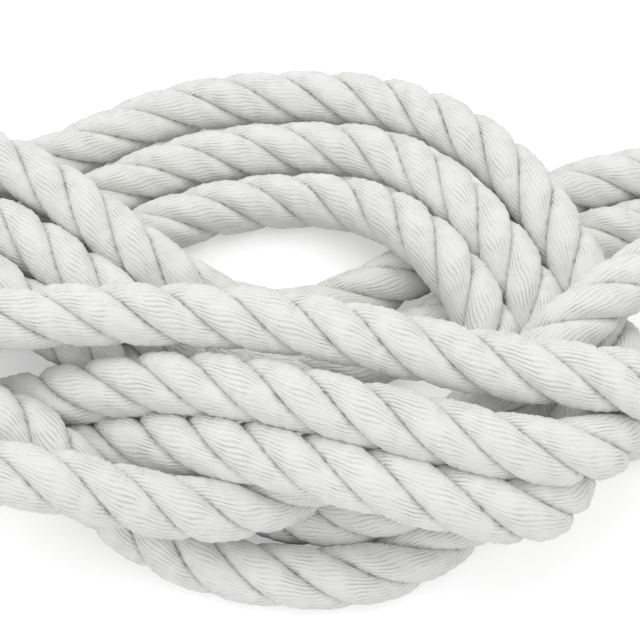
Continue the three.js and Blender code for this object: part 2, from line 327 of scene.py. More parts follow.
def yarn_group() -> bpy.types.NodeTree:
    """Makes the node group for yarns that lie side by side along a strand.

    Returns:
        A group that turns the strand's own coordinates, u round it and v along it in metres, into the
        height of its yarns from 0 in the valleys to 1 on the crowns, a tone for each yarn and the height
        of its fibres.
    """
    tree = new_group(
        "yarns_side_by_side",
        {"Strand": "NodeSocketVector", "Yarn Width": "NodeSocketFloat", "Wander": "NodeSocketFloat"},
        {"Height": "NodeSocketFloat", "Tone": "NodeSocketFloat", "Fibre": "NodeSocketFloat"},
    )
    graph = NodeGraph(tree)
    inside = tree.nodes["Group Input"]
    outside = tree.nodes["Group Output"]
    strand = inside.outputs["Strand"]

    # The yarns wander a little from side to side as they go along.
    slow = graph.add("ShaderNodeMapping")
    slow.inputs["Scale"].default_value = (1.0, 0.3, 1.0)
    graph.join(strand, slow.inputs["Vector"])
    drift = graph.math("SUBTRACT", graph.noise(slow.outputs[0], 150.0, 1.0), 0.5)
    drift = graph.math("MULTIPLY", drift, inside.outputs["Wander"])

    apart = graph.add("ShaderNodeSeparateXYZ")
    graph.join(strand, apart.inputs[0])
    across = graph.math("DIVIDE", apart.outputs["X"], inside.outputs["Yarn Width"])
    across = graph.math("ADD", across, drift)
    place = graph.math("FRACT", across)
    off_crown = graph.math("ABSOLUTE", graph.math("MULTIPLY_ADD", place, 2.0, -1.0))
    graph.join(graph.math("SUBTRACT", 1.0, graph.math("POWER", off_crown, 2.6)), outside.inputs["Height"])

    number = graph.add("ShaderNodeTexWhiteNoise", noise_dimensions="1D")
    graph.join(graph.math("FLOOR", across), number.inputs["W"])
    graph.join(number.outputs["Value"], outside.inputs["Tone"])

    # Fibres run along their yarn at a slant, far longer than they are thick.
    slant = graph.add("ShaderNodeMapping")
    slant.inputs["Rotation"].default_value = (0.0, 0.0, math.radians(16))
    slant.inputs["Scale"].default_value = (1.0, 0.12, 1.0)
    graph.join(strand, slant.inputs["Vector"])
    graph.join(graph.noise(slant.outputs[0], 3600.0, 3.0), outside.inputs["Fibre"])
    return tree


def crevice_group() -> bpy.types.NodeTree:
    """Makes the node group for the painted shade, with a little dirt, in the grooves between strands.

    Returns:
        A group that turns the depth below the rope's crown, 0 to 1, into painted shade with a little dirt,
        and into scattered painted shade where gaps open between the yarns.
    """
    tree = new_group(
        "crevice_shade",
        {"Depth": "NodeSocketFloat", "Place": "NodeSocketVector", "Start": "NodeSocketFloat"},
        {"Shade": "NodeSocketFloat", "Gap Shade": "NodeSocketFloat"},
    )
    graph = NodeGraph(tree)
    inside = tree.nodes["Group Input"]
    outside = tree.nodes["Group Output"]
    below = graph.math("SUBTRACT", inside.outputs["Depth"], inside.outputs["Start"])
    # Painted shade, with a little dirt: the deeper below the crown, the more of it.
    shade = graph.math("MULTIPLY", below, 5.0, clamp=True)
    graph.join(shade, outside.inputs["Shade"])
    # Painted shade: scattered gaps between the yarns in the grooves, where the crevice shade is.
    gap_shade_spots = graph.ramp(graph.noise(inside.outputs["Place"], 620.0, 2.0), 0.5, 0.66)
    graph.join(graph.math("MULTIPLY", gap_shade_spots, shade), outside.inputs["Gap Shade"])
    return tree


@dataclass(frozen=True)
class CottonFinish:
    """Soft undyed cotton yarn, which is matte, off-white and a little uneven."""

    name: str = "rope_cotton"
    crown: tuple[float, float, float, float] = (0.86, 0.857, 0.838, 1.0)
    pale: tuple[float, float, float, float] = (0.91, 0.909, 0.9, 1.0)
    # Painted shade, with a little dirt, in the valleys between yarns.
    valley_shade_and_dirt: tuple[float, float, float, float] = (0.76, 0.76, 0.73, 1.0)
    # Painted shade, with a little dirt, in the grooves between strands.
    crevice: tuple[float, float, float, float] = (0.66, 0.66, 0.6, 1.0)
    # Painted shade of the gaps between yarns in the grooves.
    gap_shade: tuple[float, float, float, float] = (0.3, 0.3, 0.265, 1.0)
    yarn_width: float = 0.91 * MM
    yarn_wander: float = 0.6
    yarn_relief: float = 0.2 * MM
    fibre_relief: float = 0.07 * MM
    roughness: float = 0.93
    sheen: float = 0.25

    def material(self) -> bpy.types.Material:
        """Makes the material.

        Returns:
            A material that reads the strand's UV map "yarns" and its attribute "depth".
        """
        material = bpy.data.materials.new(self.name)
        material.use_nodes = True
        graph = NodeGraph(material.node_tree)
        shader = material.node_tree.nodes["Principled BSDF"]

        strand = graph.add("ShaderNodeUVMap", uv_map="yarns").outputs[0]
        place = graph.add("ShaderNodeTexCoord").outputs["Object"]
        depth = graph.add("ShaderNodeAttribute", attribute_name="depth").outputs["Fac"]

        yarns = graph.add("ShaderNodeGroup", node_tree=yarn_group())
        graph.join(strand, yarns.inputs["Strand"])
        yarns.inputs["Yarn Width"].default_value = self.yarn_width
        yarns.inputs["Wander"].default_value = self.yarn_wander

        crevice = graph.add("ShaderNodeGroup", node_tree=crevice_group())
        graph.join(depth, crevice.inputs["Depth"])
        graph.join(place, crevice.inputs["Place"])
        crevice.inputs["Start"].default_value = 0.17

        patches = graph.ramp(graph.noise(place, 45.0, 2.0), 0.35, 0.7)
        tone = graph.math("ADD", graph.math("MULTIPLY", yarns.outputs["Tone"], 0.6),
                          graph.math("MULTIPLY", patches, 0.4))
        colour = graph.mix(tone, self.crown, self.pale)
        # Painted shade, with a little dirt: the valleys between yarns are darker, unevenly.
        valley_shade_and_dirt = graph.math("SUBTRACT", 1.0, yarns.outputs["Height"])
        uneven = graph.ramp(graph.noise(place, 260.0, 2.0), 0.3, 0.75)
        valley_shade_and_dirt = graph.math("MULTIPLY", valley_shade_and_dirt, uneven, clamp=True)
        colour = graph.mix(valley_shade_and_dirt, colour, self.valley_shade_and_dirt)
        # Painted shade, with a little dirt, in the grooves between strands.
        colour = graph.mix(graph.math("MULTIPLY", crevice.outputs["Shade"], 0.75), colour, self.crevice)
        # Painted shade in scattered gaps between the yarns in the grooves.
        colour = graph.mix(graph.math("MULTIPLY", crevice.outputs["Gap Shade"], 0.8), colour, self.gap_shade)
        graph.join(colour, shader.inputs["Base Color"])

        rough = graph.math("MULTIPLY_ADD", yarns.outputs["Fibre"], 0.08, self.roughness - 0.04)
        graph.join(rough, shader.inputs["Roughness"])
        shader.inputs["Specular IOR Level"].default_value = 0.25
        shader.inputs["Sheen Weight"].default_value = self.sheen
        shader.inputs["Sheen Roughness"].default_value = 0.5

        # The yarns stand out unevenly, and the fibres lie over them.
        strength = graph.math("MULTIPLY_ADD", uneven, 0.7, 0.3)
        lay = graph.math("MULTIPLY", yarns.outputs["Height"], strength)
        relief = graph.add("ShaderNodeBump")
        relief.inputs["Strength"].default_value = 1.0
        relief.inputs["Distance"].default_value = self.yarn_relief
        graph.join(lay, relief.inputs["Height"])
        fibres = graph.add("ShaderNodeBump")
        fibres.inputs["Strength"].default_value = 1.0
        fibres.inputs["Distance"].default_value = self.fibre_relief
        graph.join(yarns.outputs["Fibre"], fibres.inputs["Height"])
        graph.join(relief.outputs["Normal"], fibres.inputs["Normal"])
        graph.join(fibres.outputs["Normal"], shader.inputs["Normal"])
        return material


@dataclass(frozen=True)
class TwineFinish:
    """Waxed cotton twine: two plies twisted together, a shade yellower and glossier than the rope."""

    name: str = "whipping_twine"
    light: tuple[float, float, float, float] = (0.74, 0.705, 0.6, 1.0)
    # Painted shade in the grooves between the plies, and the darker end of the uneven tone.
    dark: tuple[float, float, float, float] = (0.45, 0.41, 0.32, 1.0)
    ply_length: float = 2.4 * MM
    relief: float = 0.12 * MM
    roughness: float = 0.62

    def material(self) -> bpy.types.Material:
        """Makes the material.

        Returns:
            A material that reads the twine's UV map "plies", in metres along and round it.
        """
        material = bpy.data.materials.new(self.name)
        material.use_nodes = True
        graph = NodeGraph(material.node_tree)
        shader = material.node_tree.nodes["Principled BSDF"]
        place = graph.add("ShaderNodeTexCoord").outputs["Object"]
        apart = graph.add("ShaderNodeSeparateXYZ")
        graph.join(graph.add("ShaderNodeUVMap", uv_map="plies").outputs[0], apart.inputs[0])
        along = graph.math("DIVIDE", apart.outputs["X"], self.ply_length)
        twist = graph.math("FRACT", graph.math("ADD", along, graph.math("MULTIPLY", apart.outputs["Y"], 2.0)))
        off_crown = graph.math("ABSOLUTE", graph.math("MULTIPLY_ADD", twist, 2.0, -1.0))
        ply = graph.math("SUBTRACT", 1.0, graph.math("POWER", off_crown, 3.0))
        soiled = graph.ramp(graph.noise(place, 240.0, 3.0), 0.35, 0.75)
        # Painted shade: darker in the grooves between the plies; the noise makes the tone uneven at random.
        share = graph.math("MULTIPLY", ply, graph.math("MULTIPLY_ADD", soiled, 0.5, 0.5), clamp=True)
        graph.join(graph.mix(share, self.dark, self.light), shader.inputs["Base Color"])
        rough = graph.math("MULTIPLY_ADD", soiled, 0.15, self.roughness - 0.07)
        graph.join(rough, shader.inputs["Roughness"])
        shader.inputs["Sheen Weight"].default_value = 0.1
        relief = graph.add("ShaderNodeBump")
        relief.inputs["Strength"].default_value = 1.0
        relief.inputs["Distance"].default_value = self.relief
        graph.join(ply, relief.inputs["Height"])
        graph.join(relief.outputs["Normal"], shader.inputs["Normal"])
        return material


# ---------- the line that the rope follows ----------


def smooth_curve(points: np.ndarray, samples: int) -> np.ndarray:
    """Draws a centripetal Catmull-Rom curve through points.

    Args:
        points: The points, n by 3.
        samples: Samples from one point to the next.

    Returns:
        The curve's samples, the last point included.
    """
    ends = (2 * points[0] - points[1], 2 * points[-1] - points[-2])
    held = np.vstack([ends[0], points, ends[1]])
    knots = np.concatenate([[0.0], np.cumsum(np.linalg.norm(np.diff(held, axis=0), axis=1) ** 0.5)])
    curve = []
    for i in range(1, len(held) - 2):
        p0, p1, p2, p3 = held[i - 1 : i + 3]
        t0, t1, t2, t3 = knots[i - 1 : i + 3]
        t = (t1 + (t2 - t1) * np.arange(samples) / samples)[:, None]
        a1 = (t1 - t) / (t1 - t0) * p0 + (t - t0) / (t1 - t0) * p1
        a2 = (t2 - t) / (t2 - t1) * p1 + (t - t1) / (t2 - t1) * p2
        a3 = (t3 - t) / (t3 - t2) * p2 + (t - t2) / (t3 - t2) * p3
        b1 = (t2 - t) / (t2 - t0) * a1 + (t - t0) / (t2 - t0) * a2
        b2 = (t3 - t) / (t3 - t1) * a2 + (t - t1) / (t3 - t1) * a3
        curve.append((t2 - t) / (t2 - t1) * b1 + (t - t1) / (t2 - t1) * b2)
    return np.vstack([*curve, points[-1:]])


def distances(chain: np.ndarray) -> np.ndarray:
    """Gives how far along a chain of points each point is."""
    return np.concatenate([[0.0], np.cumsum(np.linalg.norm(np.diff(chain, axis=0), axis=1))])


def evenly(chain: np.ndarray, step: float) -> np.ndarray:
    """Divides a chain of points into equal steps.

    Args:
        chain: The points, n by 3.
        step: The length of a step, which is met as nearly as an even division allows.

    Returns:
        The new points.
    """
    along = distances(chain)
    wanted = np.linspace(0.0, along[-1], round(along[-1] / step) + 1)
    return np.stack([np.interp(wanted, along, chain[:, axis]) for axis in range(3)], axis=1)


@dataclass(frozen=True)
class Settling:
    """How the rope comes to rest on itself and on the floor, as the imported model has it."""

    step: float = 6 * MM
    rounds: int = 220
    touching: float = 12.12 * MM
    neighbours: int = 5
    push: float = 0.75
    hold: float = 0.012
    stiffness: float = 0.06
    lying_height: float = 5.1 * MM
    samples: int = 24

    def settle(self, route: np.ndarray) -> tuple[np.ndarray, np.ndarray]:
        """Lets the rope settle.

        Args:
            route: The points that its centre passes.

        Returns:
            The settled points, centred over the origin, and how far they were moved to centre them.
        """
        home = evenly(smooth_curve(route, self.samples), self.step)
        points = home.copy()
        number = np.arange(len(points))
        other_pass = np.abs(number[:, None] - number[None, :]) > self.neighbours
        for _ in range(self.rounds):
            between = points[:, None, :] - points[None, :, :]
            distance = np.linalg.norm(between, axis=2)
            touch = other_pass & (distance < self.touching)
            share = np.where(touch, self.push * (self.touching - distance) / np.maximum(distance, 1e-9), 0.0)
            points += (share[:, :, None] * between).sum(axis=1) / np.maximum(touch.sum(axis=1), 1)[:, None]
            points += self.hold * (home - points)
            bend = 4 * points[1:-3] - 6 * points[2:-2] + 4 * points[3:-1] - points[:-4] - points[4:]
            points[2:-2] += self.stiffness * bend
            points[:, 2] = np.maximum(points[:, 2], self.lying_height)
        shift = -(points.min(axis=0) + points.max(axis=0)) / 2
        shift[2] = 0.0
        return points + shift, shift


@dataclass
class Guide:
    """A line with a frame that goes along it without turning about it."""

    points: np.ndarray
    along: np.ndarray = field(init=False)
    tangents: np.ndarray = field(init=False)
    normals: np.ndarray = field(init=False)
    binormals: np.ndarray = field(init=False)

    def __post_init__(self) -> None:
        """Works out the frame at each point."""
        self.along = distances(self.points)
        tangents = np.gradient(self.points, self.along, axis=0)
        self.tangents = tangents / np.linalg.norm(tangents, axis=1)[:, None]
        normal = np.cross(self.tangents[0], [0.0, 0.0, 1.0])
        normals = [normal / np.linalg.norm(normal)]
        for tangent in self.tangents[1:]:
            normal = normals[-1] - tangent * np.dot(normals[-1], tangent)
            normals.append(normal / np.linalg.norm(normal))
        self.normals = np.array(normals)
        self.binormals = np.cross(self.tangents, self.normals)

    @property
    def length(self) -> float:
        """The line's length."""
        return float(self.along[-1])

    def place(self, distance: float, angle: float, radius: float) -> np.ndarray:
        """Finds a point beside the line.

        Args:
            distance: How far along the line.
            angle: The direction from the line, in its frame.
            radius: How far from the line.

        Returns:
            The point.
        """
        def at(values: np.ndarray) -> np.ndarray:
            """Reads the frame between two points."""
            return np.array([np.interp(distance, self.along, values[:, axis]) for axis in range(3)])

        outward = math.cos(angle) * at(self.normals) + math.sin(angle) * at(self.binormals)
        return at(self.points) + radius * outward


# ---------- meshes ----------


@dataclass
class MeshParts:
    """Vertices and faces that are gathered into one mesh, with the strand's own coordinates."""

    vertices: list[np.ndarray] = field(default_factory=list)
    depths: list[np.ndarray] = field(default_factory=list)
    faces: list[np.ndarray] = field(default_factory=list)
    coordinates: list[np.ndarray] = field(default_factory=list)
    caps: list[tuple[list[int], list[tuple[float, float]]]] = field(default_factory=list)
    count: int = 0

    def add_tube(self, rings: np.ndarray, depth: np.ndarray, along: np.ndarray, round_it: np.ndarray) -> None:
        """Adds a tube that is closed at both ends.

        Args:
            rings: Its rings of points, rings by sides by 3, which go round it anticlockwise seen from its end.
            depth: The depth attribute of each point.
            along: How far along the strand each ring is.
            round_it: The coordinate round the strand of each corner, rings by sides + 1.
        """
        ring_count, sides, _ = rings.shape
        ring = np.arange(ring_count - 1)[:, None]
        side = np.arange(sides)[None, :]
        following = (side + 1) % sides
        corners = [
            ring * sides + side,
            ring * sides + following,
            (ring + 1) * sides + following,
            (ring + 1) * sides + side,
        ]
        self.faces.append(np.stack(corners, axis=2).reshape(-1, 4) + self.count)
        u = [round_it[:-1, :-1], round_it[:-1, 1:], round_it[1:, 1:], round_it[1:, :-1]]
        near = np.broadcast_to(along[:-1, None], u[0].shape)
        far = np.broadcast_to(along[1:, None], u[0].shape)
        v = [near, near, far, far]
        self.coordinates.append(np.stack([np.stack(u, axis=2), np.stack(v, axis=2)], axis=3).reshape(-1, 2))
        first = [self.count + i for i in reversed(range(sides))]
        last = [self.count + (ring_count - 1) * sides + i for i in range(sides)]
        self.caps.append((first, [(float(round_it[0, i]), float(along[0])) for i in reversed(range(sides))]))
        self.caps.append((last, [(float(round_it[-1, i]), float(along[-1])) for i in range(sides)]))
        self.vertices.append(rings.reshape(-1, 3))
        self.depths.append(depth.reshape(-1))
        self.count += ring_count * sides

    def to_object(self, name: str, uv_name: str) -> bpy.types.Object:
        """Makes a mesh object of all that was added.

        Args:
            name: The object's name.
            uv_name: The UV map's name.

        Returns:
            The object, smooth shaded.
        """
        quads = np.vstack(self.faces)
        polygons = quads.tolist() + [corners for corners, _ in self.caps]
        mesh = bpy.data.meshes.new(name)
        mesh.from_pydata(np.vstack(self.vertices).tolist(), [], polygons)
        flat = [np.vstack(self.coordinates)] + [np.array(uv) for _, uv in self.caps]
        layer = mesh.uv_layers.new(name=uv_name)
        layer.data.foreach_set("uv", np.vstack(flat).astype(np.float32).ravel())
        depth = mesh.attributes.new("depth", "FLOAT", "POINT")
        depth.data.foreach_set("value", np.concatenate(self.depths).astype(np.float32))
        mesh.shade_smooth()
        made = bpy.data.objects.new(name, mesh)
        bpy.context.scene.collection.objects.link(made)
        return made


def dress(piece: bpy.types.Object, material: bpy.types.Material) -> None:
    """Gives a piece its finish and lets it ride on the part's body.

    Args:
        piece: The piece.
        material: Its only material.
    """
    piece.data.materials.clear()
    piece.data.materials.append(material)
    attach(piece, BODY)


# ---------- the rope ----------


@dataclass(frozen=True)
class RopeLay:
    """Three strands laid up to the right, each of them twisted to the left out of many yarns."""

    diameter: float = 12 * MM
    soft_growth: float = 0.45 * MM
    strands: int = 3
    hand: Hand = Hand.RIGHT
    length_of_turn: float = 38 * MM
    strand_thickness: float = 6.0 * MM
    strand_width: float = 8.3 * MM
    squareness: float = 2.2
    strand_girth: float = 22.75 * MM
    sides: int = 24
    ring_step: float = 2.42 * MM
    uneven_turn: float = 0.16
    uneven_waves: float = 41.0
    yarn_shift: float = 0.37
    pattern_shift: float = 0.7

    @property
    def strand_circle(self) -> float:
        """Radius of the circle that the strands' centres wind round."""
        return self.diameter / 2 + self.soft_growth - self.strand_thickness / 2

    @property
    def yarn_turn(self) -> float:
        """Length in which a yarn goes once round its strand, so that on the crown it runs along the rope."""
        return self.length_of_turn * self.strand_width / self.diameter

    def angle(self, along: np.ndarray | float, strand: int) -> np.ndarray | float:
        """Gives the direction of a strand's centre from the rope's centre.

        Args:
            along: Distance along the rope.
            strand: The strand's number.

        Returns:
            The angle in the rope's frame.
        """
        distance = np.asarray(along)
        # The lay runs a little ahead and behind along the rope.
        ahead = self.uneven_turn * np.sin(distance * self.uneven_waves)
        turned = TURN * distance / self.length_of_turn + ahead
        return self.hand.value * turned + TURN * strand / self.strands

    def section(self) -> tuple[np.ndarray, np.ndarray, np.ndarray]:
        """Gives a strand's section, which starts on its side that faces the rope's centre.

        Returns:
            The places outward and sideways of each point, and the share of the girth of each corner.
        """
        share = np.arange(self.sides + 1) / self.sides
        angle = math.pi + TURN * share[:-1]
        power = 2 / self.squareness
        outward = np.sign(np.cos(angle)) * np.abs(np.cos(angle)) ** power * self.strand_thickness / 2
        sideways = np.sign(np.sin(angle)) * np.abs(np.sin(angle)) ** power * self.strand_width / 2
        return outward, sideways, share


@dataclass
class DockLine:
    """The rope itself, from its cut end to the end of the eye."""

    lay: RopeLay
    guide: Guide
    splice: tuple[float, float]
    whipping: tuple[float, float]
    pinched: float = 0.9
    pinch_reach: float = 4 * MM
    swell_reach: float = 6 * MM
    swell_middle: float = 1.1 * MM
    swell_wave: float = 1.3 * MM
    fullness: tuple[tuple[float, float, float], ...] = ((0.022, 173.0, 2.1), (0.016, 401.0, 4.4))
    name: str = "dock_line"
    floor_clearance: float = 0.15 * MM

    def swell(self, along: np.ndarray) -> np.ndarray:
        """Gives how the strands' circle grows and shrinks where other strands are tucked between them."""
        start, end = self.splice
        entered = np.clip((along - start) / self.swell_reach, 0, 1)
        inside = entered * np.clip((end - along) / self.swell_reach, 0, 1)
        return inside * (self.swell_middle - self.swell_wave * np.cos(tuck_phase(self.lay, along - end)))

    def pinch(self, along: np.ndarray) -> np.ndarray:
        """Gives how thick the rope is, as a share of its own thickness: the whipping draws it in."""
        start, end = self.whipping
        outside = np.maximum(np.maximum(start - along, along - end), 0)
        return 1 - (1 - self.pinched) * ease(np.clip(1 - outside / self.pinch_reach, 0, 1))

    def build(self) -> bpy.types.Object:
        """Builds the three strands as one mesh.

        Returns:
            The rope.
        """
        guide = self.guide
        along = guide.along
        outward, sideways, share = self.lay.section()
        parts = MeshParts()
        for strand in range(self.lay.strands):
            angle = self.lay.angle(along, strand)
            out = np.cos(angle)[:, None] * guide.normals + np.sin(angle)[:, None] * guide.binormals
            side = np.cross(guide.tangents, out)
            # A strand is a little fuller in some places than in others.
            full = 1.0
            for much, waves, shift in self.fullness:
                full = full + much * np.sin(along * waves + shift * strand)
            circle = self.lay.strand_circle * self.pinch(along) + self.swell(along)
            full = full * self.pinch(along)
            radial = circle[:, None] + outward[None, :] * full[:, None]
            across = sideways[None, :] * full[:, None]
            rings = (
                guide.points[:, None, :]
                + radial[:, :, None] * out[:, None, :]
                + across[:, :, None] * side[:, None, :]
            )
            reach = np.sqrt(radial**2 + across**2)
            crown = (circle + self.lay.strand_thickness / 2)[:, None]
            depth = np.clip(1 - reach / crown, 0, 1)
            rings[:, :, 2] = np.maximum(rings[:, :, 2], self.floor_clearance)
            turned = self.lay.hand.value * along / self.lay.yarn_turn + self.lay.yarn_shift * strand
            round_it = (share[None, :] + turned[:, None]) * self.lay.strand_girth
            parts.add_tube(rings, depth, along + self.lay.pattern_shift * strand, round_it)
        return parts.to_object(self.name, "yarns")


def tuck_phase(lay: RopeLay, along: np.ndarray) -> np.ndarray:
    """Gives the phase of the tucks, which are over one strand and under the next, along a splice.

    Args:
        lay: The rope's lay.
        along: Distance along the rope from the throat of the splice, negative into the splice.

    Returns:
        The phase, which is a whole turn from one time over to the next.
    """
    relative = 2 * TURN * along / lay.length_of_turn
    return relative * lay.strands / 2


@dataclass
class EyeSplice:
    """The eye's three strands where they leave the end of the rope and are tucked into the standing part."""

    lay: RopeLay
    guide: Guide
    splice: tuple[float, float]
    name: str = "eye_splice_strands"
    sides: int = 20
    step: float = 1.2 * MM
    strand_radius: float = 2.9 * MM
    tail_radius: float = 1.3 * MM
    leaving: float = 9 * MM
    ways_out: tuple[float, ...] = (12 * MM, 8 * MM, 4 * MM, 0.0)
    sunk: float = 0.98
    tuck_step: float = 2 * MM
    tuck_middle: float = 4.4 * MM
    tuck_wave: float = 1.9 * MM
    last_tuck: float = 8 * MM
    last_dive: float = 1.2 * MM
    taper_length: float = 16 * MM
    taper_power: float = 0.6
    floor_clearance: float = 0.15 * MM

    def strand_line(self, strand: int) -> np.ndarray:
        """Gives the centre of one strand, from the end of the eye to its last tuck.

        Args:
            strand: The strand's number.

        Returns:
            The points of its centre.
        """
        start, end = self.splice
        total = self.guide.length
        points = []
        for back in self.ways_out:
            distance = total - back
            angle = float(self.lay.angle(distance, strand))
            points.append(self.guide.place(distance, angle, self.lay.strand_circle * self.sunk))
        first = float(self.lay.angle(end, 0))
        for distance in np.arange(end - self.leaving, start - 1e-9, -self.tuck_step):
            angle = first - self.lay.hand.value * TURN * (distance - end) / self.lay.length_of_turn
            angle -= TURN * strand / self.lay.strands
            phase = float(tuck_phase(self.lay, distance - end))
            fade = min(1.0, (distance - start) / self.last_tuck)
            wave = self.tuck_wave * math.cos(phase) * fade
            radius = self.tuck_middle + wave - self.last_dive * (1 - fade)
            points.append(self.guide.place(distance, angle, radius))
        return evenly(smooth_curve(np.array(points), 8), self.step)

    def build(self) -> bpy.types.Object:
        """Builds the three strands as one mesh.

        Returns:
            The tucked strands.
        """
        parts = MeshParts()
        turn = TURN * np.arange(self.sides + 1) / self.sides
        for strand in range(self.lay.strands):
            line = Guide(self.strand_line(strand))
            along = line.along
            left = line.length - along
            full = np.clip(left / self.taper_length, 0, 1) ** self.taper_power
            radius = self.tail_radius + (self.strand_radius - self.tail_radius) * full
            out = (
                np.cos(turn[:-1])[None, :, None] * line.normals[:, None, :]
                + np.sin(turn[:-1])[None, :, None] * line.binormals[:, None, :]
            )
            rings = line.points[:, None, :] + radius[:, None, None] * out
            rings[:, :, 2] = np.maximum(rings[:, :, 2], self.floor_clearance)
            twist = along[:, None] / self.lay.yarn_turn
            round_it = (turn[None, :] / TURN + twist) * self.lay.strand_girth
            depth = np.zeros(rings.shape[:2])
            parts.add_tube(rings, depth, along + self.lay.pattern_shift * strand, round_it)
        return parts.to_object(self.name, "yarns")


# ---------- the whipped end ----------


def rest_on_line(piece: bpy.types.Object, guide: Guide, distance: float) -> None:
    """Stands a piece that was made upright about the origin on the rope's line.

    Args:
        piece: The piece, whose own +Z becomes the line's direction.
        guide: The rope's line.
        distance: Where along the line its origin goes.
    """
    point = Vector(guide.place(distance, 0.0, 0.0))
    ahead = Vector(guide.place(distance + 1 * MM, 0.0, 0.0)) - point
    turn = ahead.to_track_quat("Z", "X").to_matrix().to_4x4()
    turn.translation = point
    piece.data.transform(turn)


def select_only(piece: bpy.types.Object) -> None:
    """Selects one object, makes it active and deselects the rest."""
    bpy.ops.object.select_all(action="DESELECT")
    piece.select_set(True)
    bpy.context.view_layer.objects.active = piece


@dataclass
class EndWhipping:
    """Twine that is wound tightly round the rope near its cut end."""

    guide: Guide
    start: float
    length: float = 14 * MM
    twine_radius: float = 0.6 * MM
    coil_radius: float = 6.0 * MM
    turns: int = 12
    sides: int = 10
    steps: int = 36
    buried: float = 1.2 * MM
    name: str = "end_whipping_twine"

    @property
    def pitch(self) -> float:
        """Distance between two turns."""
        return (self.length - 2 * self.twine_radius) / self.turns

    def build(self) -> bpy.types.Object:
        """Winds the twine.

        Returns:
            The twine, with the UV map "plies".
        """
        bpy.ops.object.select_all(action="DESELECT")
        bpy.ops.mesh.primitive_circle_add(
            vertices=self.sides,
            radius=self.twine_radius,
            location=(self.coil_radius, 0, self.twine_radius),
            rotation=(math.pi / 2, 0, 0),
        )
        twine = bpy.context.active_object
        twine.name = twine.data.name = self.name
        bpy.ops.object.transform_apply(location=True, rotation=True, scale=True)
        wind = twine.modifiers.new("wind", "SCREW")
        wind.axis = "Z"
        wind.angle = TURN
        wind.screw_offset = self.pitch
        wind.iterations = self.turns
        wind.steps = wind.render_steps = self.steps
        bpy.ops.object.modifier_apply(modifier=wind.name)
        bpy.ops.object.mode_set(mode="EDIT")
        bpy.ops.mesh.select_all(action="SELECT")
        bpy.ops.mesh.fill_holes(sides=self.sides)
        bpy.ops.mesh.normals_make_consistent(inside=False)
        bpy.ops.object.mode_set(mode="OBJECT")
        self.map_plies(twine)
        self.bury_ends(twine)
        twine.data.shade_smooth()
        rest_on_line(twine, self.guide, self.start)
        return twine

    def wound(self, point: Vector) -> float:
        """Gives how many turns from the start of the twine a point on it is."""
        share = math.atan2(point.y, point.x) / TURN
        return share + round((point.z - self.twine_radius) / self.pitch - share)

    def map_plies(self, twine: bpy.types.Object) -> None:
        """Writes how far along the twine, and how far round it, each corner is.

        Args:
            twine: The wound twine, upright about the origin.
        """
        mesh = twine.data
        layer = mesh.uv_layers.new(name="plies")
        for face in mesh.polygons:
            corners = [mesh.vertices[i].co for i in face.vertices]
            turns = [self.wound(point) for point in corners]
            round_it = []
            for point, turn in zip(corners, turns):
                rise = point.z - self.twine_radius - turn * self.pitch
                round_it.append(math.atan2(rise, math.hypot(point.x, point.y) - self.coil_radius) / TURN)
            if max(round_it) - min(round_it) > 0.5:
                round_it = [share + 1 if share < 0 else share for share in round_it]
            for loop, turn, share in zip(face.loop_indices, turns, round_it):
                layer.data[loop].uv = (turn * TURN * self.coil_radius, share)

    def bury_ends(self, twine: bpy.types.Object) -> None:
        """Leads the first and the last of the twine in under the rope's surface."""
        for vertex in twine.data.vertices:
            turn = self.wound(vertex.co)
            to_end = max(min(turn, self.turns - turn), 0.0)
            sink = self.buried * (1 - min(to_end / 0.2, 1.0)) ** 2
            shrink = 1 - sink / self.coil_radius
            vertex.co.x *= shrink
            vertex.co.y *= shrink


